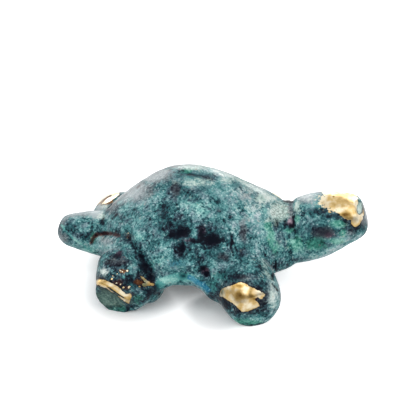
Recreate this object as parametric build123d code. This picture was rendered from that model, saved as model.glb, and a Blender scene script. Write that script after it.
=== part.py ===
"""A small bronze turtle, cast in sections and joined: a domed body, a head, a tail and four legs.

Every limb is turned about its own axis, coped to the body's surface, and held by a round spigot that
stands in a blind socket in the body. Millimetres, +X towards the snout, +Y to the turtle's left, +Z up.
The model is laid out from the top of the shell and moved, at the end, to the middle of its footprint.
"""

import os

from build123d import *

# Body: a dome about a vertical axis through the top of the shell, longer in front than behind
body_height = 22.6
body_half_width = 16.0
body_front_length = 21.9
body_rear_length = 16.4
girdle_height = 8.1
shoulder_drop = 5.1
shoulder_inset = 5.7
belly_clearance = 4.6
belly_edge_inset = 5.0

# Head and neck: one turned form that rises from inside the shell to the snout
neck_inset = 6.5
neck_height = 8.8
head_reach = 11.8
snout_height = 14.9
neck_radius = 5.6
brow_radius = 6.0
brow_setback = 10.6
snout_radius = 4.8
snout_setback = 3.8
snout_end_radius = 1.6

# Eyes: a shallow oval hollow on each side of the head
eye_setback = 7.4
eye_length = 4.4
eye_height = 2.8
eye_depth = 0.7

# Tail: a blunt thumb that lifts a little towards its end
tail_inset = 7.0
tail_root_height = 7.9
tail_reach = 8.2
tail_end_height = 9.5
tail_root_radius = 4.5
tail_bulb_radius = 3.3
tail_bulb_setback = 3.0
tail_end_radius = 0.6

# Front legs: stout stubs that leave the body outwards and down, to a round foot with a flat sole
front_hip_from_end = 13.5
front_hip_from_side = 10.0
front_thigh_radius = 5.7
front_foot_height = 3.8
front_foot_radius = 5.2
front_foot_setback = 2.8
front_foot_end_radius = 2.3
front_right_foot_from_end = 6.9
front_right_foot_overhang = 4.1
front_left_foot_from_end = 7.2
front_left_foot_overhang = 4.0

# Rear legs: the same, but slimmer and cut off square at the end
rear_hip_from_end = 6.5
rear_hip_from_side = 9.5
rear_thigh_radius = 5.7
rear_foot_height = 3.6
rear_foot_radius = 5.1
rear_foot_setback = 2.0
rear_foot_end_radius = 3.7
rear_right_foot_from_end = 5.4
rear_right_foot_overhang = 1.0
rear_left_foot_from_end = 0.2
rear_left_foot_overhang = 1.6

# Joints: every hip at one height, and every limb with a tapered root and a round spigot in a blind socket
hip_height = 8.0
root_taper = 4.0
spigot_radius = 1.6
spigot_clearance = 0.05
socket_end_gap = 0.3


def half_dome(length):
    """The half of the body on the +X side of the cross-section through its top."""
    top = (0, body_height)
    shoulder = (body_half_width - shoulder_inset, body_height - shoulder_drop)
    girdle = (body_half_width, girdle_height)
    belly_edge = (body_half_width - belly_edge_inset, belly_clearance)
    crown = Spline(top, shoulder, girdle, tangents=[(1, 0), (0, -1)])
    flank = Spline(girdle, belly_edge, tangents=[(0, -1), (-1, 0)])
    belly = Line(belly_edge, (0, belly_clearance))
    axis = Line((0, belly_clearance), top)
    cross_section = Plane(origin=(0, 0, 0), x_dir=(0, -1, 0), z_dir=(-1, 0, 0))
    turned = revolve(cross_section * make_face([crown, flank, belly, axis]), Axis.Z, 180)
    return scale(turned, by=(length / body_half_width, 1, 1))


def dome():
    return half_dome(body_front_length) + Rot(0, 0, 180) * half_dome(body_rear_length)


def limb_plane(start, tip):
    return Plane(origin=start, z_dir=tip - start)


def turned_limb(start, tip, root_radius, swells, end_radius):
    """A form turned about the line from start to tip.

    Each swell is a radius and its distance back from the tip.
    """
    length = (tip - start).length
    inner_edge = (spigot_radius, 0)
    root = (root_radius, root_taper)
    points = [(radius, length - setback) for radius, setback in swells]
    inner_end = Line((0, 0), inner_edge)
    taper = Line(inner_edge, root)
    skin = Spline(root, *points, (end_radius, length), tangents=[(0, 1), (-1, 0)])
    blunt_end = Line((end_radius, length), (0, length))
    axis = Line((0, length), (0, 0))
    face = make_face([inner_end, taper, skin, blunt_end, axis])
    return limb_plane(start, tip) * revolve(Plane.XZ * face, Axis.Z)


def spigot(start, tip, tip_setback, clearance=0, end_gap=0):
    """A round peg along a limb's axis, from the limb's start inside the body to a point inside the limb."""
    length = (tip - start).length - tip_setback
    on_its_end = (Align.CENTER, Align.CENTER, Align.MIN)
    peg = Cylinder(spigot_radius + clearance, length + end_gap, align=on_its_end)
    return limb_plane(start, tip) * Pos(0, 0, -end_gap) * peg


def eye_hollow(start, tip, side):
    along_head = (tip - start).normalized()
    outwards = Vector(0, side, 0)
    middle = tip - along_head * eye_setback + outwards * brow_radius
    oval = scale(Sphere(1), by=(eye_length / 2, eye_height / 2, eye_depth))
    return Plane(origin=middle, x_dir=along_head, z_dir=outwards) * oval


def head():
    """The head and neck. As for every limb: form, start, tip, and the spigot's distance from the tip."""
    start = Vector(body_front_length - neck_inset, 0, neck_height)
    tip = Vector(body_front_length + head_reach, 0, snout_height)
    swells = [(brow_radius, brow_setback), (snout_radius, snout_setback)]
    form = turned_limb(start, tip, neck_radius, swells, snout_end_radius)
    form = form - eye_hollow(start, tip, 1) - eye_hollow(start, tip, -1)
    return form, start, tip, snout_setback


def tail():
    start = Vector(tail_inset - body_rear_length, 0, tail_root_height)
    tip = Vector(-tail_reach - body_rear_length, 0, tail_end_height)
    swells = [(tail_bulb_radius, tail_bulb_setback)]
    form = turned_limb(start, tip, tail_root_radius, swells, tail_end_radius)
    return form, start, tip, tail_bulb_setback


def front_leg(side, foot_from_end, foot_overhang):
    """A front leg on the left (side 1) or the right (side -1)."""
    hip_x = body_front_length - front_hip_from_end
    foot_x = body_front_length - foot_from_end
    hip = Vector(hip_x, side * (body_half_width - front_hip_from_side), hip_height)
    foot = Vector(foot_x, side * (body_half_width + foot_overhang), front_foot_height)
    swells = [(front_foot_radius, front_foot_setback)]
    stub = turned_limb(hip, foot, front_thigh_radius, swells, front_foot_end_radius)
    return split(stub, Plane.XY, keep=Keep.TOP), hip, foot, front_foot_setback


def rear_leg(side, foot_from_end, foot_overhang):
    """A rear leg on the left (side 1) or the right (side -1)."""
    hip_x = rear_hip_from_end - body_rear_length
    foot_x = foot_from_end - body_rear_length
    hip = Vector(hip_x, side * (body_half_width - rear_hip_from_side), hip_height)
    foot = Vector(foot_x, side * (body_half_width + foot_overhang), rear_foot_height)
    swells = [(rear_foot_radius, rear_foot_setback)]
    stub = turned_limb(hip, foot, rear_thigh_radius, swells, rear_foot_end_radius)
    return split(stub, Plane.XY, keep=Keep.TOP), hip, foot, rear_foot_setback


def build():
    shell = dome()
    limbs = {
        "head_and_neck": head(),
        "tail": tail(),
        "front_right_leg": front_leg(-1, front_right_foot_from_end, front_right_foot_overhang),
        "front_left_leg": front_leg(1, front_left_foot_from_end, front_left_foot_overhang),
        "rear_right_leg": rear_leg(-1, rear_right_foot_from_end, rear_right_foot_overhang),
        "rear_left_leg": rear_leg(1, rear_left_foot_from_end, rear_left_foot_overhang),
    }
    pieces = {}
    body = shell
    for name, (form, start, tip, tip_setback) in limbs.items():
        pieces[name] = (form - shell) + spigot(start, tip, tip_setback)
        body = body - spigot(start, tip, tip_setback, spigot_clearance, socket_end_gap)
    pieces["body"] = body
    return pieces


def main():
    pieces = build()
    box = Compound([piece.solid() for piece in pieces.values()]).bounding_box()
    to_middle = Pos(-box.center().X, -box.center().Y, -box.min.Z)
    os.makedirs("parts", exist_ok=True)
    for name, piece in pieces.items():
        export_step(to_middle * piece.solid(), f"parts/{name}.step")
    print("size", box.size, "moved", to_middle.position)


main()
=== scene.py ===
"""A small patinated bronze turtle: its cast surface, its worn gold patches and a plain studio."""

import math

import bmesh
import bpy
import numpy as np
from mathutils import Color, Matrix, Vector, noise
from mathutils.bvhtree import BVHTree
from mathutils.kdtree import KDTree


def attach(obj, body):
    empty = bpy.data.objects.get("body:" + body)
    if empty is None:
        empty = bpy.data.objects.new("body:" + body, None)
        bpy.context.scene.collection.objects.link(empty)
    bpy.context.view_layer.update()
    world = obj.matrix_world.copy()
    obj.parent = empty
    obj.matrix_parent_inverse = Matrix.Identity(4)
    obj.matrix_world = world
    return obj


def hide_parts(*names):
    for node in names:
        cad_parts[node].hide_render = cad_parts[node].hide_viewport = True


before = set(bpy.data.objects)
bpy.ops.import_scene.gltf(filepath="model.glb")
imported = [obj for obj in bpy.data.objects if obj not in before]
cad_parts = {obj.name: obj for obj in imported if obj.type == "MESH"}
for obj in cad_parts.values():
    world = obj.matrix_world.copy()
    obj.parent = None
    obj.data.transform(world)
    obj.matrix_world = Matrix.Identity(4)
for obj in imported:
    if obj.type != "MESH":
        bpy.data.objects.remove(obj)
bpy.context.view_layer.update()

# Shapes are worked in millimetres and become metres when they are put on a mesh
MM = 0.001
PICTURE = 400
MIDDLE_PIXEL = PICTURE / 2

# Camera: where it stands about the ground point under the shell's top, and where that point lies in the
# picture
SHELL_FOOT = Vector((-4.86, 0.07, 0.0))
SHELL_FOOT_PIXEL = (187.0, 276.8)
CAMERA_AZIMUTH = 5.0
CAMERA_ELEVATION = 27.0
CAMERA_DISTANCE = 450.0
LENS = 210.6
SENSOR = 36.0
PIXELS_PER_MM = 5.2

# Casting: how near points count as one, voxel size, how far hollows between the limbs are filled, share and
# rounds of the smoothing, and how much is taken off the soles and up to what height
SAME_POINT = 0.0005
GRAIN_SIZE = 0.25
FILLET = 1.6
SMOOTHING = 0.5
SMOOTHING_ROUNDS = 8
SOLE_DEPTH = 0.25
SOLE_RISE = 2.0

# Wax pressed in beside the limbs: middle of each pad from the shell's foot, and half its length, width and
# height
WAX_PADS = {
    "rear_right_web": ((-6.3, -12.1, 4.8), (3.4, 4.0, 4.0)),
    "front_right_web": ((7.5, -13.6, 5.5), (3.4, 3.5, 3.4)),
    "rear_left_web": ((-8.5, 12.4, 4.8), (3.4, 4.0, 4.0)),
    "front_left_web": ((7.3, 13.6, 5.5), (3.4, 3.5, 3.4)),
    "front_left_instep": ((14.7, 18.0, 6.3), (3.3, 3.2, 3.7)),
}
WAX_ROUNDNESS = 4

# Unevenness left by the hand and the mould: size across, height and seed of each
HAND_LUMPS = (7.0, 0.2, 1.3)
MOULD_RIPPLE = (2.2, 0.07, 4.1)
CAST_GRAIN = (0.9, 0.035, 7.7)

# Creases: pixels along each, with its width and depth in millimetres; a negative depth is a ridge
CREASES = {
    "shell_top": ([(184, 173.4), (190, 174.2), (201.7, 176.3), (213, 179)], 0.8, 0.25),
    "over_thigh": ([(93, 242), (98, 235), (112, 233), (127, 236)], 0.8, 0.7),
    "behind_thigh": ([(127, 236), (134, 250), (141, 260), (150, 269), (154, 277)], 1.1, 0.7),
    "neck": ([(291, 205), (293, 226), (295, 234)], 0.6, 0.4),
    "under_neck": ([(276, 260), (274, 271)], 0.5, 0.4),
    "eye": ([(317, 232), (329, 234)], 1.2, 0.5),
    "nose": ([(358, 206), (359, 212)], 0.6, 0.4),
    "above_lip": ([(160, 276), (172, 271), (190, 271), (206, 277)], 0.8, 0.25),
    "foot_edge": ([(272, 285), (277, 290)], 0.4, 0.3),
    "rear_foot_rim": ([(98, 283), (108, 287), (120, 294), (129, 299)], 0.6, -0.3),
}
MIRRORED_CREASES = ("eye", "neck", "under_neck", "over_thigh", "behind_thigh")
CREASE_STEPS = 6

# Dents and lumps: pixel, radius and height in millimetres
DENTS = {
    "rear_thumb": ((181, 233), 2.0, -0.6),
    "front_thumb": ((209, 236), 2.1, -0.65),
    "thumb_drag": ((184, 250), 1.6, -0.4),
    "front_pit": ((205, 272), 0.9, -0.5),
    "rear_pit": ((183, 277), 0.6, -0.35),
    "belly_arch": ((180, 283), 2.6, -0.9),
    "arch_rear": ((162, 286), 1.8, 0.35),
    "arch_front": ((202, 286), 1.8, 0.35),
    "far_foot_top": ((107, 200), 2.5, 0.4),
    "rear_foot_hollow": ((127, 279), 1.5, -0.6),
    "thigh_bulge": ((110, 244), 2.4, 0.4),
    "shoulder": ((256, 190), 4.5, 0.4),
    "nape": ((278, 201), 4.0, 0.5),
    "head_top": ((324, 198), 4.0, 0.8),
    "snout_slope": ((353, 197), 2.2, -0.5),
    "throat": ((298, 256), 3.6, 0.85),
    "shell_crown": ((190, 169), 4.0, 0.25),
    "tail_end": ((63, 234), 2.4, 0.35),
    "rear_web_edge": ((158, 296), 1.6, -0.5),
    "front_web_edge": ((212, 298), 1.6, -0.5),
    "rear_sole_corner": ((134, 310), 1.6, -0.8),
    "rump": ((123, 199), 4.0, 0.3),
    "snout_pit": ((334, 197), 0.45, -0.3),
    "foot_hollow": ((240, 298), 2.0, -0.3),
    "foot_knob": ((250, 305), 1.1, 0.3),
    "foot_brow": ((249, 297), 1.0, 0.15),
}

# Ends pressed flat: pixel, the way the flat faces, how deep the press goes and how far it reaches
FLATS = {
    "rear_foot_end": ((111, 297), (-0.27, -0.88, -0.38), 0.35, 5.0),
    "tail_end": ((65, 237), (-0.6, -0.7, -0.35), 0.2, 3.5),
    "nose_end": ((358, 209), (0.86, -0.25, 0.45), 0.3, 4.0),
}

# Seams: each limb's axis from the shell's foot, how far along it the seam starts inside the body, and the
# seam cone's radius there and past the tip
SEAMS = {
    "front_right_leg": ((8.4, -6.0, 8.0), (15.0, -20.1, 3.8), 4.9, 6.4, 11.0),
    "front_left_leg": ((8.4, 6.0, 8.0), (14.7, 20.0, 3.8), 4.9, 6.4, 11.0),
    "rear_right_leg": ((-9.9, -6.5, 8.0), (-11.0, -17.0, 3.6), 3.3, 6.3, 10.0),
    "rear_left_leg": ((-9.9, 6.5, 8.0), (-16.2, 17.6, 3.6), 3.6, 6.3, 10.0),
    "tail": ((-9.4, 0.0, 7.9), (-24.6, 0.0, 9.5), 3.1, 5.2, 8.0),
    "head_and_neck": ((15.4, 0.0, 8.8), (33.7, 0.0, 14.9), 3.0, 6.7, 11.0),
}
SEAM_OVERRUN = 4.0
SEAM_SIDES = 96
SKIN_SLOT = 0
CUT_SLOT = 1

# Gold where the patina is rubbed away: outlines in pixels, by the piece that carries them
WORN_OUTLINES = {
    "head_and_neck": [
        [(324, 186), (322, 195), (319.5, 200.5), (318.5, 204), (322.5, 207.7), (329, 209.7),
         (336, 211.8), (340, 215), (346, 219.5), (350.4, 221.5), (352.4, 226), (354.5, 227.7),
         (357.6, 226), (360.6, 222.6), (363, 219), (364, 213.8), (364, 209), (363, 204.5),
         (360, 199.5), (356, 195), (352, 190), (350, 186)],
    ],
    "front_right_leg": [
        [(220, 292.5), (221, 289.5), (224.5, 287.5), (230, 286), (234, 284.5), (239, 282.5),
         (242, 282.5), (247, 284.5), (250, 287), (256, 289), (259.5, 291), (264, 293.5), (266, 294.5),
         (263.5, 297), (260.5, 299), (257.5, 296.5), (253, 299.5), (256, 301), (259, 303.5),
         (259, 306), (255.5, 308), (251.5, 310), (247, 311.5), (241.5, 311.5), (239, 309),
         (235.5, 305.5), (230.5, 301.5), (226, 299), (222.5, 297), (220, 296)],
    ],
    "rear_right_leg": [
        [(95.6, 281.5), (97, 279.6), (100, 279), (105.5, 280.4), (110.6, 282.6), (115.8, 285.9),
         (118.8, 288), (124, 292), (126.4, 293.9), (130.6, 293.6), (131.8, 295.8), (130.8, 298.8),
         (129.4, 301.4), (128.6, 303.4), (125, 301.4), (118.8, 296.4), (112.7, 292.2), (105.5, 288),
         (100.4, 285.6), (96, 284.6)],
        [(140.3, 276.4), (142.6, 277), (151.6, 283.8), (150.2, 286), (146, 283.2)],
        [(142.5, 283.4), (154, 283.2), (153.8, 285.7), (142.5, 285.8)],
    ],
    "rear_left_leg": [
        [(95, 205), (98, 199), (103, 193), (110, 188), (121, 186), (119, 195), (112, 200),
         (106, 203.5), (100, 205.5)],
    ],
    "front_left_leg": [
        [(261, 187), (266, 184.5), (272, 186.5), (274, 190), (279, 194), (281, 198.5), (283, 203),
         (277, 204.5), (274, 201), (270, 201.5), (266, 197), (262.5, 193.5)],
    ],
}

# Single flecks of gold: pixel, and half width and half height in pixels
FLECKS = [
    (120.4, 270.6, 1.5, 1.6), (122.4, 271.7, 1.2, 1.2), (127.3, 270.8, 2.0, 2.4), (117.3, 273.7, 1.3, 1.2),
    (111.8, 279.0, 1.7, 1.8), (116.8, 283.0, 1.4, 1.3), (120.4, 284.3, 1.6, 1.5), (123.5, 287.4, 1.8, 1.6),
    (128.6, 287.6, 1.8, 2.2), (130.2, 286.2, 1.4, 1.4), (128.3, 233.5, 1.1, 0.9), (127.6, 238.0, 0.9, 1.0),
    (139.5, 286.4, 2.4, 1.1), (113.0, 276.0, 1.2, 1.2), (99.0, 234.0, 1.4, 1.0),
]

# What shows of the pieces beyond the shell: pixel of its middle, and half width and half height in pixels;
# the rest of the far side mirrors the near
SEEN_BEYOND_SHELL = {"rear_left_leg": (105, 201, 15, 11), "front_left_leg": (267, 192, 7, 6)}
WINDOW_FADE = 0.5

# Blots of colour: pixel, half width and half height in pixels, and strength
BLOTS = {
    # Dark: darker patina in the dents and pits, and painted shade in the creases of the shell top, thigh and
    # neck and on the gold
    "dark_and_shade": [
        (178, 232, 15, 10, 0.5), (181, 233, 10, 7, 0.95), (173, 235, 6, 3.4, 0.8),
        (194, 241, 8, 4, 0.85), (208, 233, 13, 11, 0.45), (201, 234, 4.5, 11, 0.95),
        (211, 239.5, 9, 7, 1.0), (184, 247, 11, 10, 0.4), (182, 248, 5, 9, 0.75),
        (190, 250, 2.6, 5, 0.5), (197, 250, 5, 5, 0.3), (203.5, 268.5, 3, 3, 0.9),
        (206.5, 274, 3.2, 3.8, 0.95), (183, 276, 4.5, 3.2, 0.8), (163.5, 207, 3.2, 4, 0.7),
        (156, 211, 4, 2.2, 0.5), (166, 212, 2.5, 2.5, 0.45), (160, 216, 12, 6, 0.2),
        (172, 222, 10, 5, 0.3), (175, 189, 6, 10, 0.3), (218, 202, 3, 3, 0.6), (219, 211, 4, 3, 0.5),
        (231, 217, 3, 3, 0.55), (243.5, 232, 4, 12, 0.3), (109, 194, 10, 6, 0.1),
        (223, 256.5, 11, 6, 0.45), (240, 258, 8, 8, 0.4), (223, 275, 7, 6, 0.55),
        (236, 277, 12, 5, 0.6), (196, 258, 12, 5, 0.35), (128, 280, 9, 6, 0.35),
        (145, 267, 7, 10, 0.65), (151, 277, 5, 6, 0.85), (137, 252, 6, 6, 0.4), (119, 263, 13, 5, 0.4),
        (120, 234, 5, 4, 0.4), (126, 238, 4, 4, 0.3), (325, 233, 14, 7.5, 0.48), (322, 242, 3, 3, 0.6),
        (291, 225, 2.6, 4, 0.8), (286, 224, 2.6, 3, 0.6), (277, 223, 2.6, 4, 0.8),
        (318, 211, 7, 4, 0.55), (330, 216, 8, 3, 0.55), (345, 222, 5, 3, 0.9), (352, 229, 5, 3, 0.5),
        (228, 305, 9, 6, 0.6), (238, 313, 12, 4, 0.6), (262, 303, 6, 5, 0.8), (255, 299, 4, 2, 0.9),
        (262, 282, 7, 5, 0.3), (73, 229, 9, 7, 0.35), (312, 243, 9, 6, 0.3), (118, 256, 8, 5, 0.45),
        (150, 291, 8, 5, 0.6), (138, 299, 9, 6, 0.3), (86, 238, 8, 5, 0.25), (297, 260, 5, 2, 0.4),
        (112, 307, 12, 3, 0.5), (238, 296, 9, 7, 0.9), (240, 286, 6, 3, 1.0), (345, 214.5, 8, 2.5, 0.9),
        (334, 205, 8, 4, 0.6), (333.7, 196.5, 1.2, 0.9, 1.3),
    ],
    # Bright: lighter patina, and painted highlights and sheen on the rims, under the tail and on the gold
    "bright_and_highlight": [
        (194.5, 233, 3.5, 4.5, 0.5), (237, 244, 2.5, 10, 0.5), (228, 204, 14, 12, 0.7),
        (345, 236, 12, 5, 0.6), (240, 316, 18, 5, 0.5), (86, 244, 12, 7, 0.6), (80, 226, 14, 10, 0.2),
        (338, 224, 6, 4, 0.7), (272, 296, 7, 16, 0.6), (236, 260, 14, 12, 0.2), (308, 198, 12, 6, 1.2),
        (336, 194, 16, 4, 0.5), (236, 305, 3, 3, 0.6), (168, 280, 9, 4, 0.9), (279, 212, 11, 10, 0.6),
        (276, 242, 10, 16, 0.25), (238, 196, 22, 14, 0.7), (254, 214, 13, 18, 0.7),
        (198, 183, 24, 5.5, 0.42), (300, 248, 16, 8, 0.2), (135, 214, 16, 16, 0.3),
        (200, 212, 16, 10, 0.35), (163, 252, 10, 10, 0.4), (107, 243, 12, 7, 0.6),
        (256, 320, 18, 4, 0.7), (262, 236, 10, 18, 0.3), (222, 262, 5, 5, 0.4), (314, 222, 10, 6, 0.45),
        (340, 240, 18, 5, 0.7), (272, 300, 6, 16, 0.7), (74, 214, 14, 5, 0.6), (88, 250, 12, 4, 0.8),
        (96, 214, 9, 5, 1.2), (100, 206, 9, 5, 1.4), (104.5, 272, 4.5, 4.5, 1.5),
        (123.6, 277, 2.2, 1.8, 0.7), (290, 221.5, 2.4, 2.8, 1.8), (355.5, 204, 2.5, 7, 0.9),
        (359, 209, 3, 7, 1.0), (246, 294, 4, 2.4, 0.6), (251, 306.5, 4, 3, 1.6),
        (256, 292.5, 5, 3, 1.2), (227, 291, 6, 4, 0.5), (342, 209, 4, 2, 0.9), (132, 190, 12, 10, 0.5),
        (150, 176, 14, 6, 0.5), (365, 215, 3, 12, 0.8), (357, 198, 6, 5, 0.7), (101, 246, 7, 5, 0.6),
        (64, 236, 6, 8, 0.3), (109, 298, 12, 8, 0.75), (310, 226, 9, 9, 0.25), (312, 204, 12, 6, 0.7),
        (361, 200, 4, 7, 1.0), (228, 236, 3, 4, 0.7), (236, 242, 3, 6, 0.8), (238, 254, 3, 6, 0.6),
        (212, 169, 14, 4, 0.7), (224, 179.5, 8, 5, 0.7), (272, 198.5, 7, 4, 0.9),
        (100.5, 238.5, 5, 3, 0.8), (128.5, 297, 3, 2.5, 0.8),
    ],
    # Pale: pale mint patina, and painted sheen on the shell's top and right rim, the head top and the front
    # foot's right side
    "pale_and_sheen": [
        (196, 167, 28, 3.6, 0.55), (279, 212, 10, 10, 1.0), (264, 198, 11, 6, 0.75),
        (198, 182.5, 22, 5, 0.5), (253, 207, 8, 9, 0.35), (104.5, 272, 4, 4, 0.7),
        (247, 190, 14, 6, 0.3), (297, 207, 3.5, 9, 0.6), (273, 298, 6, 13, 0.6), (308, 198, 10, 4, 0.4),
        (359.2, 208.8, 3.6, 7.4, 0.9), (101, 216, 5, 4, 0.7), (105, 206, 6, 3, 0.6),
        (260, 207, 3, 3, 0.4), (268, 220, 3, 2.5, 0.8), (357, 198, 5, 4, 0.6), (225, 180, 7, 4, 0.55),
        (272, 198.5, 6, 3.5, 0.6),
    ],
    "green": [
        (271, 238, 4, 9, 1.1), (276, 248, 7, 8, 0.6), (297, 243, 10, 10, 0.7), (338, 224, 7, 4, 0.95),
        (343, 232, 4, 5, 0.7), (314, 244, 14, 7, 0.75), (336, 241, 10, 4, 0.6), (268, 226, 4, 6, 0.8),
        (187, 170.5, 7, 3, 0.8), (110, 308, 16, 3, 0.5), (244, 322, 20, 4, 0.7), (297, 218, 3, 5, 0.7),
        (289, 230.5, 5, 2.5, 0.8), (93, 238, 3, 6, 0.7), (197, 182, 16, 4, 0.4), (138, 299, 8, 7, 0.45),
        (121, 309, 6, 4, 0.6),
    ],
    "turquoise": [
        (200, 208, 22, 12, 0.4), (160, 262, 14, 8, 0.3), (214, 284, 6, 10, 0.6), (265, 210, 3, 7, 0.45),
        (297, 209, 3, 8, 0.5), (90, 250, 8, 4, 0.7), (123.6, 277, 2.4, 2, 0.6), (138, 238, 6, 6, 0.4),
        (222, 276, 7, 5, 0.5),
    ],
    "blue": [(178, 264, 14, 5, 0.4), (200, 284, 8, 5, 0.35)],
    "rust": [
        (118, 283, 8, 4, 0.6), (127, 288, 5, 3, 0.6), (128, 236, 5, 4, 0.35), (211, 242, 3, 3, 0.3),
        (206, 270, 3, 2.5, 0.35), (255, 299, 4, 2, 0.6), (331, 235, 6, 3, 0.12),
    ],
    "plum": [
        (290.5, 222, 3.2, 4, 1.1), (119.5, 254, 6, 5, 0.5), (203, 231, 5, 9, 0.45),
        (212, 241, 7, 5, 0.5), (330, 235, 7, 4, 0.45), (187, 240, 7, 3, 0.4), (219, 211, 3.4, 3, 0.3),
        (231, 217, 3.4, 3, 0.25), (205, 271, 5, 5, 0.5), (290, 209, 3, 7, 0.35),
    ],
    "amber": [
        (138.5, 282.5, 5, 3, 1.1), (143, 284, 4, 2, 0.8), (149, 283, 4, 2.5, 0.7),
        (122, 271, 4.5, 2.2, 0.8), (126.5, 271, 3, 2, 0.7), (105.5, 199, 8, 5.5, 1.2),
    ],
    "olive": [(109, 298, 14, 10, 1.2)],
    # Slate: grey slate patina, and grey painted sheen on the shell's left shoulder, the head top and the tail
    # top
    "slate_and_sheen": [
        (325, 233, 14, 7.5, 0.7), (243.5, 230, 5, 14, 0.7), (246, 196, 12, 8, 0.5),
        (223, 257, 11, 6, 0.5), (134, 190, 22, 12, 0.9), (154, 176, 18, 8, 0.9), (112, 206, 10, 8, 0.7),
        (306, 198, 12, 7, 0.8), (270, 294, 8, 10, 0.7), (365, 214, 4, 10, 1.0), (350, 234, 8, 5, 0.6),
        (63.5, 238, 5, 6, 0.8), (119, 262, 14, 6, 0.6), (246, 278, 14, 5, 0.5), (176, 190, 5, 9, 0.8),
        (96, 214, 8, 5, 0.9), (99, 205, 9, 7, 0.9), (104.5, 272, 5, 5, 0.9), (106, 241, 12, 5, 0.6),
        (279, 243, 5, 6, 0.5),
    ],
    "waxed": [
        (128, 192, 22, 13, 1.0), (152, 174, 22, 8, 1.0), (186, 165, 24, 5, 0.9), (226, 172, 24, 6, 0.9),
        (258, 188, 14, 7, 0.8), (308, 192, 16, 8, 1.0), (274, 296, 8, 16, 0.8), (364, 212, 6, 14, 0.9),
        (72, 210, 16, 6, 0.7), (96, 214, 10, 4, 0.8),
    ],
    "crazed": [(280, 212, 11, 12, 1.0)],
    "calm": [
        (134, 190, 16, 13, 1.0), (152, 176, 18, 8, 1.0), (172, 267, 14, 7, 0.6),
        (109, 298, 14, 10, 0.25), (280, 212, 11, 11, 0.8), (220, 256, 9, 6, 0.2),
        (197, 178, 30, 11, 0.9), (230, 180, 26, 12, 0.7), (308, 198, 14, 7, 0.9),
        (274, 298, 8, 16, 0.6), (350, 236, 14, 7, 0.5), (96, 214, 10, 6, 0.8), (99, 205, 10, 8, 0.9),
        (64, 238, 6, 8, 0.9), (365, 215, 4, 14, 0.9), (325, 233.5, 14, 8, 1.0),
    ],
    "feathered": [(320, 199, 12, 12, 1.0), (332, 210, 12, 5, 0.8), (361, 197, 3.6, 5, 0.8)],
    "tarnish": [(359.2, 208.8, 3.1, 7.2, 1.0), (349.8, 221, 1.4, 1.4, 0.7)],
}

# Lines that more than one streak follows, in pixels
THIGH_LINE = [(91.5, 243), (93.5, 238), (97, 234.5), (104, 233), (112, 234), (118, 235.5)]
TAIL_LINE = [(61.5, 225), (65, 229.5), (70.5, 235.6), (76.5, 241), (87, 248)]
TAIL_TOP = [(63, 220), (70, 214.5), (82, 213), (96, 212.5)]
TAIL_RIM = [(59, 240), (59, 229), *TAIL_TOP]
SHELL_RIM = [(216, 171), (236, 179), (252, 187), (270, 196)]
LIP = [(160, 284), (168, 279), (180, 277), (190, 278)]
FAR_FOOT_LINE = [(99.5, 204), (103, 200.4), (107, 197.6), (111, 195.6)]

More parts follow.
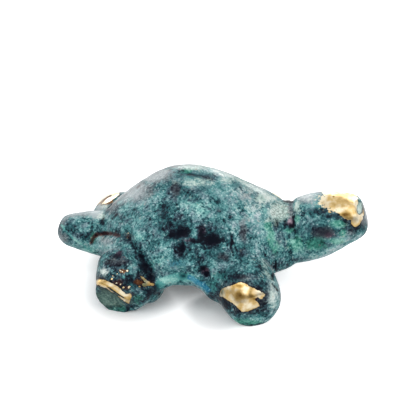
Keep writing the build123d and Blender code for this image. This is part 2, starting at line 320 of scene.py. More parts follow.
# Streaks of colour: pixels along each, half its width in pixels, and strength
STREAKS = {
    # Dark: painted shade along the creases of the thigh, the shell top and the neck, and darker patina and
    # painted shade on the gold
    "dark_and_shade": [
        ([(129, 238), (134.5, 249), (140.5, 255)], 1.8, 0.5),
        ([(140.5, 255), (145.5, 262), (150, 269), (154.5, 279)], 2.2, 0.75),
        (THIGH_LINE, 1.7, 0.42),
        ([(188, 174.3), (201, 176.3), (212, 179)], 1.8, 0.42),
        ([(293, 217), (293.5, 227)], 1.6, 0.8),
        ([(293.5, 227), (296, 237)], 1.1, 0.45),
        ([(285, 201.3), (292, 201.5)], 1.4, 1.0),
        ([(276, 261), (275.6, 268.5)], 0.9, 0.9),
        ([(273, 273.5), (272.3, 279.5)], 1.2, 0.75),
        ([(272, 284), (278, 291)], 1.0, 0.9),
        ([(109, 207.7), (103.5, 216), (102, 223.5)], 2.0, 0.5),
        ([(112, 218.5), (117.5, 214)], 1.0, 0.6),
        ([(92, 221), (91.5, 232)], 1.3, 0.5),
        ([(137.3, 187.6), (139.6, 185.6)], 0.8, 1.4),
        (FAR_FOOT_LINE, 1.2, 0.1),
        ([(102, 283.4), (107, 285.8), (111, 289), (118, 294.2), (125, 298.2)], 1.0, 0.95),
        ([(244.5, 285), (247, 286.2)], 0.7, 0.9),
        ([(229, 231), (232.5, 239), (230.5, 247), (233.5, 256)], 0.9, 0.55),
        ([(237, 235), (234.5, 245), (238, 254)], 0.8, 0.45),
    ],
    # Bright: painted sheen along the rims of the shell, tail and head, and painted highlights on the gold
    # bands
    "bright_and_highlight": [
        ([(298, 262), (318, 257), (342, 245), (360, 236)], 4.5, 0.7),
        (TAIL_LINE, 1.5, 0.25),
        ([(227, 231.5), (234, 232.5), (237.5, 239)], 1.3, 1.2),
        (SHELL_RIM, 4.0, 0.5),
        (TAIL_TOP, 2.6, 0.7),
        ([(111, 285.2), (114, 286.8), (120, 291), (126, 295.4), (130, 296)], 1.8, 1.1),
        ([(105.5, 287.4), (112.7, 291.6), (118.8, 296), (125, 300.8)], 0.9, 0.8),
        ([(142, 278), (151, 284.5)], 1.6, 0.4),
        ([(143, 284.6), (153, 284.6)], 1.4, 0.3),
    ],
    # Pale: painted sheen along the shell's right rim, a pale band down the front leg and pale scratches on
    # the rear foot's end
    "pale_and_sheen": [
        (SHELL_RIM, 3.6, 0.5),
        ([(263, 262), (267, 272), (271, 284)], 5.0, 0.35),
        ([(103, 300), (106, 301.5), (110, 300.5)], 0.6, 0.45),
        ([(109, 306), (113, 305), (115, 302.5)], 0.6, 0.5),
    ],
    "turquoise": [
        (LIP, 4.0, 1.2),
        ([(190, 277.5), (195, 280)], 2.6, 0.9),
        (TAIL_LINE, 1.4, 0.55),
    ],
    "blue": [([(190, 277.5), (196, 281), (202, 285), (208, 290)], 2.6, 1.0)],
    "rust": [(THIGH_LINE, 2.6, 0.6)],
    # Slate: grey patina along the neck crease, and grey painted sheen along the tail's rim
    "slate_and_sheen": [
        ([(290.5, 204), (291, 216)], 2.5, 0.9),
        (TAIL_RIM, 3.2, 0.9),
    ],
    "calm": [
        ([*LIP, (208, 290)], 4.0, 0.8),
        (TAIL_RIM, 3.6, 0.9),
    ],
    "tarnish": [
        ([(108, 287), (111, 289), (118, 294.2), (124, 297.6)], 0.8, 0.58),
        (FAR_FOOT_LINE, 1.2, 0.85),
    ],
}

# Gold: how its edge fades in millimetres and how much farther where it is feathered, the reach and strength
# of the dark ring about it, the strength of the flecks, and the depth given to what lies far outside it
WORN_FADE = 0.6
FEATHER_REACH = 2.2
DARK_RING = 1.6
RING_STRENGTH = 0.45
FLECK_STRENGTH = 0.72
FAR_FROM_GOLD = -10.0

# Points count as seen by how squarely they face the camera, from not at all to wholly
FACING_AWAY = -0.3
FACING_CAMERA = 0.05
MIRROR = (1, -1, 1)


# Camera
class View:
    """The camera's place and axes in millimetres, with pixels of the picture both ways."""

    def __init__(self):
        azimuth, elevation = math.radians(CAMERA_AZIMUTH), math.radians(CAMERA_ELEVATION)
        level = math.cos(elevation)
        back = Vector((math.sin(azimuth) * level, -math.cos(azimuth) * level, math.sin(elevation)))
        right = Vector((math.cos(azimuth), math.sin(azimuth), 0))
        up = back.cross(right)
        self.focal = PICTURE * LENS / SENSOR
        self.place = SHELL_FOOT + back * CAMERA_DISTANCE
        scale = CAMERA_DISTANCE / self.focal
        aim = SHELL_FOOT + right * (MIDDLE_PIXEL - SHELL_FOOT_PIXEL[0]) * scale
        aim += up * (SHELL_FOOT_PIXEL[1] - MIDDLE_PIXEL) * scale
        self.back = (self.place - aim).normalized()
        self.right = Vector((0, 0, 1)).cross(self.back).normalized()
        self.up = self.back.cross(self.right)

    def ray(self, x, y):
        across = self.right * (x - MIDDLE_PIXEL) - self.up * (y - MIDDLE_PIXEL)
        return (across - self.back * self.focal).normalized()

    def pixels(self, points):
        offset = points - np.array(self.place)
        depth = -(offset @ np.array(self.back))
        x = MIDDLE_PIXEL + self.focal * (offset @ np.array(self.right)) / depth
        y = MIDDLE_PIXEL - self.focal * (offset @ np.array(self.up)) / depth
        return np.stack([x, y], 1)


def add_camera(view):
    data = bpy.data.cameras.new("camera")
    data.lens = LENS
    data.sensor_width = SENSOR
    camera = bpy.data.objects.new("camera", data)
    bpy.context.scene.collection.objects.link(camera)
    axes = Matrix((view.right, view.up, view.back)).transposed().to_4x4()
    camera.matrix_world = Matrix.Translation(view.place * MM) @ axes
    bpy.context.scene.camera = camera


# Casting
def new_object(name, mesh):
    piece = bpy.data.objects.new(name, mesh)
    bpy.context.scene.collection.objects.link(piece)
    return piece


def add_modifier(piece, kind, **settings):
    modifier = piece.modifiers.new(kind.lower(), kind)
    for name, value in settings.items():
        setattr(modifier, name, value)


def apply_modifiers(piece):
    shapes = bpy.context.evaluated_depsgraph_get()
    plain = piece.data
    shaped = bpy.data.meshes.new_from_object(piece.evaluated_get(shapes))
    piece.modifiers.clear()
    piece.data = shaped
    bpy.data.meshes.remove(plain)


def keep_largest_shell(mesh):
    shape = bmesh.new()
    shape.from_mesh(mesh)
    loose = set(shape.verts)
    shells = []
    while loose:
        edge = {loose.pop()}
        shell = set(edge)
        while edge:
            edge = {e.other_vert(v) for v in edge for e in v.link_edges} - shell
            shell |= edge
        loose -= shell
        shells.append(shell)
    shells.sort(key=len)
    bmesh.ops.delete(shape, geom=[v for shell in shells[:-1] for v in shell], context="VERTS")
    shape.to_mesh(mesh)
    shape.free()


def rough_casting():
    """All the solids and wax pads run together, with the hollows between them filled by a fillet."""
    whole = bmesh.new()
    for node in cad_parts.values():
        part = bmesh.new()
        part.from_mesh(node.data)
        bmesh.ops.remove_doubles(part, verts=part.verts, dist=SAME_POINT * MM)
        merged = bpy.data.meshes.new("merged")
        part.to_mesh(merged)
        part.free()
        whole.from_mesh(merged)
        bpy.data.meshes.remove(merged)
    for middle, half_size in WAX_PADS.values():
        stretch = Matrix.Diagonal((*half_size, 1 / MM))
        place = Matrix.Translation((SHELL_FOOT + Vector(middle)) * MM) @ stretch * MM
        bmesh.ops.create_icosphere(whole, subdivisions=WAX_ROUNDNESS, radius=1, matrix=place)
    mesh = bpy.data.meshes.new("casting")
    whole.to_mesh(mesh)
    whole.free()
    casting = new_object("casting", mesh)
    add_modifier(casting, "DISPLACE", strength=FILLET * MM, mid_level=0)
    add_modifier(casting, "REMESH", mode="VOXEL", voxel_size=GRAIN_SIZE * MM)
    add_modifier(casting, "DISPLACE", strength=-FILLET * MM, mid_level=0)
    add_modifier(casting, "REMESH", mode="VOXEL", voxel_size=GRAIN_SIZE * MM)
    add_modifier(casting, "SMOOTH", factor=SMOOTHING, iterations=SMOOTHING_ROUNDS)
    apply_modifiers(casting)
    keep_largest_shell(casting.data)
    return casting


# Modelling marks
def distance_to_line(points, line):
    """How far each point lies from a line of straight runs."""
    nearest = np.full(len(points), np.inf)
    for start, end in zip(line[:-1], line[1:]):
        run = end - start
        along = np.clip((points - start) @ run / (run @ run), 0, 1)
        nearest = np.minimum(nearest, np.linalg.norm(points - start - along[:, None] * run, axis=1))
    return nearest


def bell(away):
    """1 in the middle, and less and less away from it."""
    return np.exp(-(away ** 2))


def mirrored(points):
    """The same points on the other side of the turtle."""
    points = np.array(points, float)
    points[..., 1] = 2 * SHELL_FOOT.y - points[..., 1]
    return points


class Skin:
    """The casting's surface in millimetres, while it is being modelled."""

    def __init__(self, mesh, view):
        self.mesh = mesh
        self.view = view
        self.points = mesh_points(mesh)
        self.refresh()

    def refresh(self):
        self.mesh.vertices.foreach_set("co", (self.points * MM).astype(np.float32).ravel())
        self.mesh.update()
        normals = np.empty(len(self.points) * 3, np.float32)
        self.mesh.vertex_normals.foreach_get("vector", normals)
        self.normals = normals.reshape(-1, 3).astype(float)
        faces = [tuple(face.vertices) for face in self.mesh.polygons]
        self.tree = BVHTree.FromPolygons(self.points.tolist(), faces)

    def normals_near(self, points):
        """The skin's normals at the points of it that lie nearest to the given ones."""
        places = KDTree(len(self.points))
        for index, point in enumerate(self.points):
            places.insert(point, index)
        places.balance()
        return self.normals[[places.find(point)[1] for point in points]]

    def at(self, pixel):
        """The point of the surface that the camera sees at a pixel of the picture."""
        hit = self.tree.ray_cast(self.view.place, self.view.ray(*pixel))[0]
        if hit is None:
            raise ValueError(f"no bronze at pixel {pixel}")
        return np.array(hit)

    def along(self, pixels):
        """Points of the surface along a line drawn through pixels."""
        spots = []
        for (x0, y0), (x1, y1) in zip(pixels[:-1], pixels[1:]):
            for step in range(CREASE_STEPS):
                share = step / CREASE_STEPS
                spots.append(self.at((x0 + (x1 - x0) * share, y0 + (y1 - y0) * share)))
        spots.append(self.at(pixels[-1]))
        return np.array(spots)

    def swell(self, place, radius, height):
        """A round lump, or a dent where the height is negative."""
        away = np.linalg.norm(self.points - place, axis=1)
        self.points += self.normals * (height * bell(away / radius))[:, None]

    def groove(self, line, width, depth):
        away = distance_to_line(self.points, line)
        self.points -= self.normals * (depth * bell(away / width))[:, None]

    def press_flat(self, place, normal, depth, reach):
        """Presses the surface flat about a place on it."""
        normal = normal / np.linalg.norm(normal)
        proud = (self.points - place) @ normal + depth
        near = np.linalg.norm(self.points - place, axis=1) < reach
        self.points -= np.where(near & (proud > 0), proud, 0)[:, None] * normal

    def roughen(self, size, height, seed):
        shift = Vector((seed, 2 * seed, 3 * seed))
        lumps = np.array([noise.noise(Vector(p) / size + shift) for p in self.points])
        self.points += self.normals * (height * lumps)[:, None]


def model_surface(skin):
    for pixel, facing, depth, reach in FLATS.values():
        skin.press_flat(skin.at(pixel), np.array(facing), depth, reach)
    skin.refresh()
    creases = {name: skin.along(pixels) for name, (pixels, width, depth) in CREASES.items()}
    dents = {name: skin.at(pixel) for name, (pixel, radius, height) in DENTS.items()}
    for name, (pixels, width, depth) in CREASES.items():
        skin.groove(creases[name], width, depth)
        if name in MIRRORED_CREASES:
            skin.groove(mirrored(creases[name]), width, depth)
    for name, (pixel, radius, height) in DENTS.items():
        skin.swell(dents[name], radius, height)
    skin.refresh()
    skin.roughen(*HAND_LUMPS)
    skin.roughen(*MOULD_RIPPLE)
    skin.roughen(*CAST_GRAIN)
    height = skin.points[:, 2]
    pressed = np.maximum(height - SOLE_DEPTH, 0) * SOLE_RISE / (SOLE_RISE - SOLE_DEPTH)
    skin.points[:, 2] = np.where(height < SOLE_RISE, pressed, height)
    skin.refresh()


# Pieces
def seam_cone(start, tip, inset, root, flare):
    start, tip = SHELL_FOOT + Vector(start), SHELL_FOOT + Vector(tip)
    along = (tip - start).normalized()
    depth = (tip - start).length - inset + SEAM_OVERRUN
    middle = start + along * (inset + depth / 2)
    turn = Vector((0, 0, 1)).rotation_difference(along).to_matrix().to_4x4()
    cone = bmesh.new()
    bmesh.ops.create_cone(cone, cap_ends=True, segments=SEAM_SIDES, radius1=root * MM,
                          radius2=flare * MM, depth=depth * MM,
                          matrix=Matrix.Translation(middle * MM) @ turn)
    for face in cone.faces:
        face.material_index = CUT_SLOT
    mesh = bpy.data.meshes.new("seam")
    cone.to_mesh(mesh)
    cone.free()
    add_slots(mesh)
    return new_object("seam", mesh)


def add_slots(mesh):
    """A slot for the skin and a slot for the faces that a cut lays bare."""
    mesh.materials.clear()
    for slot in (SKIN_SLOT, CUT_SLOT):
        mesh.materials.append(None)


def shade(mesh, bronze, normals):
    """Shades the skin as it was before the cuts, and the cut faces under it by themselves."""
    mesh.shade_smooth()
    corners = np.empty(len(mesh.loops), np.int32)
    mesh.loops.foreach_get("vertex_index", corners)
    slots, sizes = np.empty((2, len(mesh.polygons)), np.int32)
    mesh.polygons.foreach_get("material_index", slots)
    mesh.polygons.foreach_get("loop_total", sizes)
    on_skin = np.repeat(slots == SKIN_SLOT, sizes)
    mesh.normals_split_custom_set(np.where(on_skin[:, None], normals[corners], 0).tolist())
    mesh.polygons.foreach_set("material_index", np.full_like(slots, SKIN_SLOT))
    mesh.materials.clear()
    mesh.materials.append(bronze)


def part_casting(casting):
    """Cuts the limbs off the body along their seams."""
    pieces = {}
    add_slots(casting.data)
    for node, seam in SEAMS.items():
        cone = seam_cone(*seam)
        limb = new_object("bronze_" + node, casting.data.copy())
        add_modifier(limb, "BOOLEAN", operation="INTERSECT", solver="MANIFOLD", object=cone)
        apply_modifiers(limb)
        add_modifier(casting, "BOOLEAN", operation="DIFFERENCE", solver="MANIFOLD", object=cone)
        apply_modifiers(casting)
        bpy.data.objects.remove(cone)
        pieces[node] = limb
    casting.name = "bronze_body"
    pieces["body"] = casting
    return pieces


# Patina, and painted light and shade, stored on the points of each piece
def mesh_points(mesh):
    points = np.empty(len(mesh.vertices) * 3, np.float32)
    mesh.vertices.foreach_get("co", points)
    return points.reshape(-1, 3).astype(float) / MM


def depth_inside(spots, outline):
    """How far each spot lies inside an outline, in pixels; negative outside."""
    corners = np.array(outline, float)
    ends = np.roll(corners, -1, axis=0)
    inside = np.zeros(len(spots), bool)
    x, y = spots[:, 0], spots[:, 1]
    for (x0, y0), (x1, y1) in zip(corners, ends):
        if y0 != y1:
            crosses = (y0 > y) != (y1 > y)
            inside ^= crosses & (x < x0 + (x1 - x0) * (y - y0) / (y1 - y0))
    away = distance_to_line(spots, np.concatenate([corners, corners[:1]]))
    return np.where(inside, away, -away)


def worn_depth(node, spots):
    """How far each spot of a piece lies inside its rubbed gold, in millimetres; negative outside."""
    inside = np.full(len(spots), FAR_FROM_GOLD)
    for outline in WORN_OUTLINES.get(node, []):
        inside = np.maximum(inside, depth_inside(spots, outline) / PIXELS_PER_MM)
    return inside


def away_from(spots, x, y, half_width, half_height):
    """How far each spot lies from the middle of an ellipse, where 1 is its edge."""
    return np.hypot((spots[:, 0] - x) / half_width, (spots[:, 1] - y) / half_height)


def coverage(finish_or_light, spots):
    """How strongly the blots and streaks of a finish, or of painted light and shade, cover each spot."""
    cover = np.zeros(len(spots))
    for *blot, strength in BLOTS[finish_or_light]:
        cover = np.maximum(cover, strength * bell(away_from(spots, *blot)))
    for line, half_width, strength in STREAKS.get(finish_or_light, []):
        away = distance_to_line(spots, np.array(line, float)) / half_width
        cover = np.maximum(cover, strength * bell(away))
    return cover


def flecked(spots):
    """How nearly each spot lies on a single fleck of gold."""
    cover = np.zeros(len(spots))
    for fleck in FLECKS:
        cover = np.maximum(cover, FLECK_STRENGTH * bell(away_from(spots, *fleck)))
    return cover


def finishes_and_light_at(node, spots):
    """How much of every finish, and of the painted light and shade, a piece carries at each spot of the
    picture.
    """
    fields = {finish_or_light: coverage(finish_or_light, spots) for finish_or_light in BLOTS}
    inside = worn_depth(node, spots)
    fade = WORN_FADE * (1 + FEATHER_REACH * fields["feathered"])
    fields["worn"] = np.maximum(np.clip((1 + inside / fade) / 2, 0, 1), flecked(spots))
    if node in SEEN_BEYOND_SHELL:
        fields["waxed"] = np.zeros(len(spots))
        return fields
    ring = RING_STRENGTH * np.exp(np.minimum(inside, 0) / DARK_RING) * (1 - fields["feathered"])
    for finish_or_light in ("slate_and_sheen", "dark_and_shade"):
        fields[finish_or_light] = np.maximum(fields[finish_or_light], ring)
    return fields


def turned_to_camera(points, normals, view):
    """How far each point is turned to the camera, from 0 to 1."""
    sight = np.array(view.place) - points
    squarely = (normals * sight).sum(1) / np.linalg.norm(sight, axis=1)
    return np.clip((squarely - FACING_AWAY) / (FACING_CAMERA - FACING_AWAY), 0, 1)


def paint(piece, node, normals, view):
    """Stores on each point of a piece how much of every finish, and of the painted light and shade, it
    carries.

    What the camera sees is painted where it sees it, the far side mirrors the near one, and what is turned
    away from both is left plain.
    """
    points = mesh_points(piece.data)
    spots = view.pixels(points)
    straight = finishes_and_light_at(node, spots)
    mirror = finishes_and_light_at(node, view.pixels(mirrored(points)))
    seen = turned_to_camera(points, normals, view)
    seen_mirrored = turned_to_camera(mirrored(points), normals * MIRROR, view)
    seen_mirrored[points[:, 1] < SHELL_FOOT.y] = 0
    if node in SEEN_BEYOND_SHELL:
        away = away_from(spots, *SEEN_BEYOND_SHELL[node])
        seen *= np.clip((1 + WINDOW_FADE - away) / WINDOW_FADE, 0, 1)
        mirror["worn"] = straight["worn"]
    for finish_or_light in straight:
        values = seen * straight[finish_or_light] + (1 - seen) * seen_mirrored * mirror[finish_or_light]
        layer = piece.data.attributes.new(finish_or_light, "FLOAT", "POINT")
        layer.data.foreach_set("value", values.astype(np.float32))


# Material
FULL = 255
WHITE = (1, 1, 1, 1)


def tint(red, green, blue):
    """A colour as it looks on the screen, from 0 to 255, as the shader takes it."""
    colour = Color((red / FULL, green / FULL, blue / FULL)).from_srgb_to_scene_linear()
    return (*colour, 1.0)


class Nodes:
    """The nodes of a material or of the room, with short words for the ones that come often."""

    def __init__(self, owner):
        owner.use_nodes = True
        self.tree = owner.node_tree
        self.places = self.add("ShaderNodeTexCoord").outputs

    def add(self, kind, **settings):
        node = self.tree.nodes.new(kind)
        for name, value in settings.items():
            setattr(node, name, value)
        return node

    def feed(self, socket, value):
        if isinstance(value, bpy.types.NodeSocket):
            self.tree.links.new(value, socket)
        else:
            socket.default_value = value

    def feed_all(self, node, values):
        for name, value in values.items():
            self.feed(node.inputs[name], value)

    def calculate(self, operation, *values):
        node = self.add("ShaderNodeMath", operation=operation)
        for socket, value in zip(node.inputs, values):
            self.feed(socket, value)
        return node.outputs[0]

    def scale(self, value, gain, base):
        """A value times a gain, added to a base."""
        return self.calculate("MULTIPLY_ADD", value, gain, base)

    def swing(self, cloud, gain):
        """A cloud's swing about its middle, made larger or smaller."""
        return self.scale(cloud, gain, -gain / 2)

    def cloud(self, size, detail, roughness, seed):
        node = self.add("ShaderNodeTexNoise", noise_dimensions="4D")
        self.feed_all(node, {"Vector": self.places["Object"], "W": seed, "Scale": 1 / (size * MM),
                             "Detail": detail, "Roughness": roughness})
        return node.outputs["Fac"]

    def cracks(self, size):
        node = self.add("ShaderNodeTexVoronoi", feature="DISTANCE_TO_EDGE")
        self.feed_all(node, {"Vector": self.places["Object"], "Scale": 1 / (size * MM)})
        return node.outputs["Distance"]

    def painted(self, finish_or_light):
        return self.add("ShaderNodeAttribute", attribute_name=finish_or_light).outputs["Fac"]

    def rise(self, value, low, high, start=0.0, end=1.0):
        """The start below low, the end above high, and smooth between."""
        node = self.add("ShaderNodeMapRange", interpolation_type="SMOOTHSTEP")
        self.feed_all(node, {"Value": value, "From Min": low, "From Max": high,
                             "To Min": start, "To Max": end})
        return node.outputs["Result"]

    def between(self, share, first, second):
        node = self.add("ShaderNodeMix")
        self.feed_all(node, {"Factor": share, "A": first, "B": second})
        return node.outputs["Result"]

    def blend(self, share, first, second):
        """A colour between two."""
        node = self.add("ShaderNodeMix", data_type="RGBA")
        colours = [socket for socket in node.inputs if socket.type == "RGBA"]
        self.feed(node.inputs["Factor"], share)
        self.feed(colours[0], first)
        self.feed(colours[1], second)
        return next(socket for socket in node.outputs if socket.type == "RGBA")

    def ramp(self, value, stops):
        node = self.add("ShaderNodeValToRGB")
        stops = [(place, tint(*shade)) for place, shade in stops]
        points = node.color_ramp.elements
        for place, colour in stops[1:-1]:
            points.new(place).color = colour
        points[0].position, points[0].color = stops[0]
        points[-1].position, points[-1].color = stops[-1]
        self.feed(node.inputs["Fac"], value)
        return node.outputs["Color"]


# Patina: the colours of the speckled skin, from its pits to its crystals
PATINA = {
    "teal": [(0.0, (2, 7, 20)), (0.2, (17, 31, 42)), (0.42, (45, 92, 98)), (0.6, (83, 140, 142)),
             (0.8, (131, 180, 180)), (1.0, (189, 218, 215))],
    "slaty": [(0.0, (6, 7, 21)), (0.2, (28, 33, 46)), (0.42, (62, 87, 98)), (0.6, (101, 134, 142)),
              (0.8, (149, 174, 180)), (1.0, (202, 213, 218))],
}

# Stains: the colours of each in its pits, its body and its crystals, and how much of it shows at most
STAINS = {
    # The slate stain also carries grey painted sheen
    "slate_and_sheen": ((34, 38, 48), (92, 100, 106), (172, 182, 186), 0.8),
    "turquoise": ((30, 92, 96), (92, 166, 162), (164, 218, 208), 0.9),
    "green": ((14, 64, 58), (68, 144, 128), (146, 206, 190), 0.9),
    "blue": ((8, 54, 86), (38, 118, 148), (104, 176, 196), 0.9),
    # The pale stain also carries painted sheen
    "pale_and_sheen": ((116, 142, 136), (180, 206, 198), (224, 234, 228), 0.95),
    "rust": ((38, 18, 20), (84, 46, 40), (156, 104, 84), 0.9),
    "plum": ((30, 18, 34), (98, 76, 92), (168, 140, 152), 0.85),
    "amber": ((40, 20, 14), (112, 66, 30), (200, 146, 80), 0.95),
    "olive": ((44, 62, 60), (74, 98, 90), (120, 146, 132), 0.85),
}
STAIN_STOPS = (0.12, 0.5, 0.88)
PIT = (2, 8, 22)
GOLD = [(0.2, (128, 96, 48)), (0.36, (176, 144, 84)), (0.5, (214, 184, 126)), (0.7, (246, 234, 204))]
# How far painted shade deepens the gold and painted highlights pale it
GOLD_SHADE = 0.5
GOLD_LIGHT = 0.16
BURNT = (30, 22, 24)
CRACK = (70, 94, 86)
# Painted glints: the white of light glancing off crystals of the patina
PAINTED_GLINT = (214, 230, 226)

# Grain of the patina: size across in millimetres, detail, roughness and seed of each cloud
SPECKLE = (0.48, 3.0, 0.66, 1.0)
BLOTCH = (2.2, 3.0, 0.5, 2.0)
DRIFT = (8.0, 2.0, 0.5, 3.0)
FLAKE = (0.36, 1.0, 0.5, 4.0)
RAGGED = (1.3, 5.0, 0.7, 5.0)
BUFFED = (1.6, 3.0, 0.5, 6.0)
HUE = (1.5, 4.0, 0.65, 7.0)
CALM = (3.4, 2.0, 0.5, 8.0)
STRANDS = {0.12: (1.0, 2.0, 0.5, 9.0), -0.11: (1.2, 2.0, 0.5, 10.0)}
STRAND_EDGE = (0.01, 0.07)
SPECKLE_GAIN = 1.15
BLOTCH_GAIN = 0.95
DRIFT_GAIN = 0.4
MIDDLE_TONE = 0.49
CALMING = 0.75
SHADOWING = 0.4
LEAST_GRAIN = 0.2
CRAZING = 0.75

# Layers of the patina: where each starts and where it is whole, and how much it gives
LIVELY_EDGE = (0.35, 0.65)
LIVELY_GAIN = 0.9
LEAST_LIVELY = 0.6
# How far the dark paint, dark patina and painted shade, lowers the tone and the bright paint, lighter patina
# and painted highlights, raises it
TONE_SHIFTS = {"bright_and_highlight": 0.36, "dark_and_shade": -0.68}
STAIN_RAGGED = 1.3
STAIN_SPECKLED = 0.9
STAIN_EDGE = (0.15, 0.65)
CRACK_EDGE = (0.02, 0.12)
CRAZED_EDGE = (0.35, 0.6)
CRACK_SHARE = 0.6
CRYSTAL_FLAKES = (0.56, 0.64)
CRYSTAL_TONES = (0.25, 0.5)
CRYSTAL_LIGHT = 0.16
HUE_EDGE = (0.42, 0.66)
GLINT_FLAKES = (0.68, 0.74)
GLINT_TONES = (0.4, 0.6)
GLINT_SHARE = 0.35

# Edge of the gold: how ragged it is, how far the speckle frays it, and where the gold and its burnt rim start
GOLD_RAGGED = 0.5
FRAY_GAIN = 1.8
LEAST_FRAY = 0.4
GOLD_EDGE = (0.47, 0.53)
BURNT_EDGE = (0.34, 0.46)
BURNT_SHARE = 0.8

# Gloss, and relief of the grain in millimetres
WAX_EDGE = (0.1, 0.7)
ROUGHNESS = 0.4
ROUGHNESS_GAIN = 0.25
WAX_SMOOTHNESS = 0.15
GOLD_ROUGHNESS = 0.31
SPECULAR = 0.06
WAX_COAT = 0.8
COAT_ROUGHNESS = 0.3
SHEEN = 0.85
SHEEN_ROUGHNESS = 0.2
FLAKE_RELIEF = 0.5
GOLD_POLISH = 0.8
RELIEF_DEPTH = 0.12
RELIEF_STRENGTH = 0.6


def skin_tone(nodes, speckle):
    """How light the patina is, from 0 in its pits to 1 on its crystals, with painted shade and highlights
    laid into it.
    """
    lively = nodes.scale(nodes.rise(nodes.cloud(*CALM), *LIVELY_EDGE), LIVELY_GAIN, LEAST_LIVELY)
    grain = nodes.calculate("MULTIPLY", nodes.swing(speckle, SPECKLE_GAIN), lively)
    grain = nodes.calculate("ADD", grain, nodes.swing(nodes.cloud(*BLOTCH), BLOTCH_GAIN))
    for shift, cloud in STRANDS.items():
        away = nodes.calculate("ABSOLUTE", nodes.swing(nodes.cloud(*cloud), 1.0))
        grain = nodes.scale(nodes.rise(away, *STRAND_EDGE, 1.0, 0.0), shift, grain)
    grainy = nodes.scale(nodes.painted("calm"), -CALMING, 1.0)
    grainy = nodes.scale(nodes.painted("dark_and_shade"), -SHADOWING, grainy)
    grainy = nodes.calculate("MAXIMUM", grainy, LEAST_GRAIN)
    tone = nodes.scale(grain, grainy, MIDDLE_TONE)
    tone = nodes.calculate("ADD", tone, nodes.swing(nodes.cloud(*DRIFT), DRIFT_GAIN))
    for finish_or_light, shift in TONE_SHIFTS.items():
        tone = nodes.scale(nodes.painted(finish_or_light), shift, tone)
    return tone


def stained(nodes, colour, tone, speckle, ragged):
    """The patina's colour with the stains over it, each of which keeps the speckle."""
    spread = nodes.swing(ragged, STAIN_RAGGED)
    spread = nodes.calculate("ADD", spread, nodes.swing(speckle, STAIN_SPECKLED))
    for finish_or_light, (*shades, most) in STAINS.items():
        stain = nodes.ramp(tone, [(0.0, PIT), *zip(STAIN_STOPS, shades)])
        cover = nodes.calculate("ADD", nodes.painted(finish_or_light), spread)
        colour = nodes.blend(nodes.rise(cover, *STAIN_EDGE, 0.0, most), colour, stain)
    split = nodes.rise(nodes.cracks(CRAZING), *CRACK_EDGE, 1.0, 0.0)
    crazed = nodes.rise(nodes.painted("crazed"), *CRAZED_EDGE, 0.0, CRACK_SHARE)
    return nodes.blend(nodes.calculate("MULTIPLY", split, crazed), colour, tint(*CRACK))


def rubbed(nodes, speckle, ragged):
    """Where the patina is rubbed through to the gold, and the burnt rim about it."""
    feather = nodes.painted("feathered")
    edge = nodes.calculate("SUBTRACT", nodes.painted("worn"), nodes.painted("tarnish"))
    edge = nodes.calculate("ADD", edge, nodes.swing(ragged, GOLD_RAGGED))
    edge = nodes.scale(nodes.swing(speckle, 1.0), nodes.scale(feather, FRAY_GAIN, LEAST_FRAY), edge)
    burnt = nodes.scale(feather, -BURNT_SHARE, BURNT_SHARE)
    burnt = nodes.calculate("MULTIPLY", nodes.rise(edge, *BURNT_EDGE), burnt)
    return nodes.rise(edge, *GOLD_EDGE), burnt


def gold_shine(nodes):
    """The colour of the gold, deeper under painted shade and paler under painted highlights."""
    buffed_and_lit = nodes.calculate("ADD", nodes.cloud(*BUFFED), RING_STRENGTH * GOLD_SHADE)
    buffed_and_lit = nodes.scale(nodes.painted("dark_and_shade"), -GOLD_SHADE, buffed_and_lit)
    buffed_and_lit = nodes.scale(nodes.painted("bright_and_highlight"), GOLD_LIGHT, buffed_and_lit)
    return nodes.ramp(buffed_and_lit, GOLD)


def patinated_bronze():
    material = bpy.data.materials.new("patinated_bronze")
    nodes = Nodes(material)
    speckle = nodes.cloud(*SPECKLE)
    flake = nodes.cloud(*FLAKE)
    ragged = nodes.cloud(*RAGGED)
    tone = skin_tone(nodes, speckle)
    crystal = nodes.rise(flake, *CRYSTAL_FLAKES)
    crystal = nodes.calculate("MULTIPLY", crystal, nodes.rise(tone, *CRYSTAL_TONES))
    tone = nodes.scale(crystal, CRYSTAL_LIGHT, tone)
    teal, slaty = [nodes.ramp(tone, stops) for stops in PATINA.values()]
    colour = nodes.blend(nodes.rise(nodes.cloud(*HUE), *HUE_EDGE), teal, slaty)
    colour = stained(nodes, colour, tone, speckle, ragged)
    # Painted glints on the crystals
    glint = nodes.rise(flake, *GLINT_FLAKES, 0.0, GLINT_SHARE)
    glint = nodes.calculate("MULTIPLY", glint, nodes.rise(tone, *GLINT_TONES))
    colour = nodes.blend(glint, colour, tint(*PAINTED_GLINT))
    gold, burnt = rubbed(nodes, speckle, ragged)
    colour = nodes.blend(burnt, colour, tint(*BURNT))
    waxed = nodes.rise(nodes.painted("waxed"), *WAX_EDGE)
    rough = nodes.scale(tone, ROUGHNESS_GAIN, ROUGHNESS)
    rough = nodes.scale(waxed, -WAX_SMOOTHNESS, rough)
    relief = nodes.scale(flake, FLAKE_RELIEF, speckle)
    relief = nodes.calculate("MULTIPLY", relief, nodes.scale(gold, -GOLD_POLISH, 1.0))
    bump = nodes.add("ShaderNodeBump")
    nodes.feed_all(bump, {"Distance": RELIEF_DEPTH * MM, "Strength": RELIEF_STRENGTH, "Height": relief})
    nodes.feed_all(nodes.tree.nodes["Principled BSDF"], {
        "Base Color": nodes.blend(gold, colour, gold_shine(nodes)),
        "Metallic": gold,
        "Roughness": nodes.between(gold, rough, GOLD_ROUGHNESS),
        "Specular IOR Level": SPECULAR,
        "Coat Weight": nodes.calculate("MULTIPLY", waxed, WAX_COAT),
        "Coat Roughness": COAT_ROUGHNESS,
        "Sheen Weight": SHEEN,
        "Sheen Roughness": SHEEN_ROUGHNESS,
        "Normal": bump.outputs["Normal"],
    })
    return material


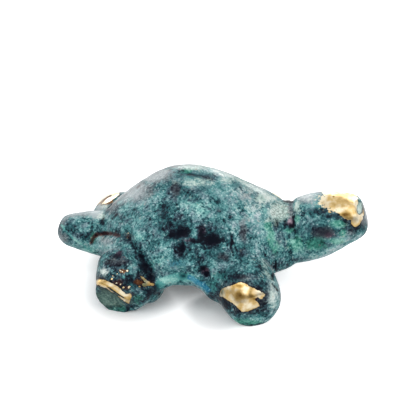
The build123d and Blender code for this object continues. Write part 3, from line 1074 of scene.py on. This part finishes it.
# Studio
FLOOR_REACH = 0.8
FLOOR_COLOUR = tint(246, 246, 247)
FLOOR_ROUGHNESS = 0.9
FLOOR_GLOW = 0.14
ROOM_LIGHT = 0.58
ROOM_FRONT = 0.25
ROOM_TURN = (-0.7, 0.3)

# Shades: where shadows lie on the floor, as the middle of each from the shell's foot and half its length and
# width, in millimetres, and how the white of the floor rises from inside each to beyond it
SHADES = {
    "belly": ((0.0, 5.7), (13.0, 13.75)),
    "rear_right_leg": ((-10.0, -6.0), (8.0, 14.0)),
    "rear_left_leg": ((-10.0, 6.0), (8.0, 14.0)),
    "front_right_leg": ((7.0, -13.0), (5.5, 8.5)),
    "front_left_leg": ((7.0, 13.0), (5.5, 8.5)),
}
SHADE_EDGE = (0.7, 1.6)
FLOOR_WHITE = 0.6

# Softboxes: place, width and height in metres, and power in watts
SOFTBOXES = {
    "front_left": ((-0.3, -0.25, 0.42), (0.5, 0.5), 1.1),
    "front_right": ((0.3, -0.25, 0.42), (0.5, 0.5), 1.0),
    "back_strip": ((-0.08, 0.55, 0.23), (1.1, 0.25), 2.1),
}

# Softboxes that only show in reflections
SHEEN_ONLY = ("back_strip",)


def seen_by_camera(nodes):
    return nodes.add("ShaderNodeLightPath").outputs["Is Camera Ray"]


def seen_directly(nodes):
    """1 on rays that show the background: from the camera, in reflections and through glass."""
    path = nodes.add("ShaderNodeLightPath").outputs
    either = nodes.calculate("MAXIMUM", path["Is Camera Ray"], path["Is Glossy Ray"])
    return nodes.calculate("MAXIMUM", either, path["Is Transmission Ray"])


def add_world():
    """A white room that is dimmer on the camera's side, where reflections show it."""
    world = bpy.data.worlds.new("studio")
    bpy.context.scene.world = world
    nodes = Nodes(world)
    direction = nodes.add("ShaderNodeSeparateXYZ")
    nodes.feed(direction.inputs[0], nodes.places["Generated"])
    reflected = nodes.rise(direction.outputs["Y"], *ROOM_TURN, ROOM_FRONT)
    shown = nodes.between(seen_by_camera(nodes), reflected, 1.0)
    strength = nodes.between(seen_directly(nodes), ROOM_LIGHT, shown)
    nodes.feed_all(nodes.tree.nodes["Background"], {"Color": WHITE, "Strength": strength})


def pale_floor():
    """Pale ground that the camera sees as white, except where shadows lie on it."""
    material = bpy.data.materials.new("pale_floor")
    nodes = Nodes(material)
    beyond = SHADE_EDGE[1]
    for middle, half_size in SHADES.values():
        place = nodes.add("ShaderNodeMapping", vector_type="TEXTURE")
        nodes.feed_all(place, {
            "Vector": nodes.places["Object"],
            "Location": (SHELL_FOOT + Vector((*middle, 0))) * MM,
            "Scale": Vector((*half_size, 1)) * MM,
        })
        away = nodes.add("ShaderNodeVectorMath", operation="LENGTH")
        nodes.feed(away.inputs[0], place.outputs["Vector"])
        beyond = nodes.calculate("MINIMUM", away.outputs["Value"], beyond)
    white = nodes.rise(beyond, *SHADE_EDGE, 0.0, FLOOR_WHITE)
    white = nodes.calculate("MULTIPLY", white, seen_by_camera(nodes))
    nodes.feed_all(nodes.tree.nodes["Principled BSDF"], {
        "Base Color": FLOOR_COLOUR,
        "Roughness": FLOOR_ROUGHNESS,
        "Emission Color": WHITE,
        "Emission Strength": nodes.scale(seen_directly(nodes), FLOOR_GLOW, white),
    })
    return material


def add_floor():
    shape = bmesh.new()
    bmesh.ops.create_grid(shape, x_segments=1, y_segments=1, size=FLOOR_REACH)
    mesh = bpy.data.meshes.new("floor")
    shape.to_mesh(mesh)
    shape.free()
    floor = new_object("floor", mesh)
    mesh.materials.append(pale_floor())


def add_softbox(name, place, size, power):
    lamp = bpy.data.lights.new(name, "AREA")
    lamp.shape = "RECTANGLE"
    lamp.size, lamp.size_y = size
    lamp.energy = power
    softbox = bpy.data.objects.new(name, lamp)
    softbox.location = place
    softbox.rotation_euler = (-Vector(place)).to_track_quat("-Z", "Y").to_euler()
    softbox.visible_camera = False
    softbox.visible_diffuse = name not in SHEEN_ONLY
    bpy.context.scene.collection.objects.link(softbox)


view = View()
add_camera(view)
casting = rough_casting()
skin = Skin(casting.data, view)
model_surface(skin)
bronze = patinated_bronze()
for node, piece in part_casting(casting).items():
    normals = skin.normals_near(mesh_points(piece.data))
    paint(piece, node, normals, view)
    shade(piece.data, bronze, normals)
    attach(piece, "root")
    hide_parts(node)
add_world()
add_floor()
for name, (place, size, power) in SOFTBOXES.items():
    add_softbox(name, place, size, power)
bpy.context.scene.view_settings.view_transform = "Standard"
bpy.context.view_layer.update()
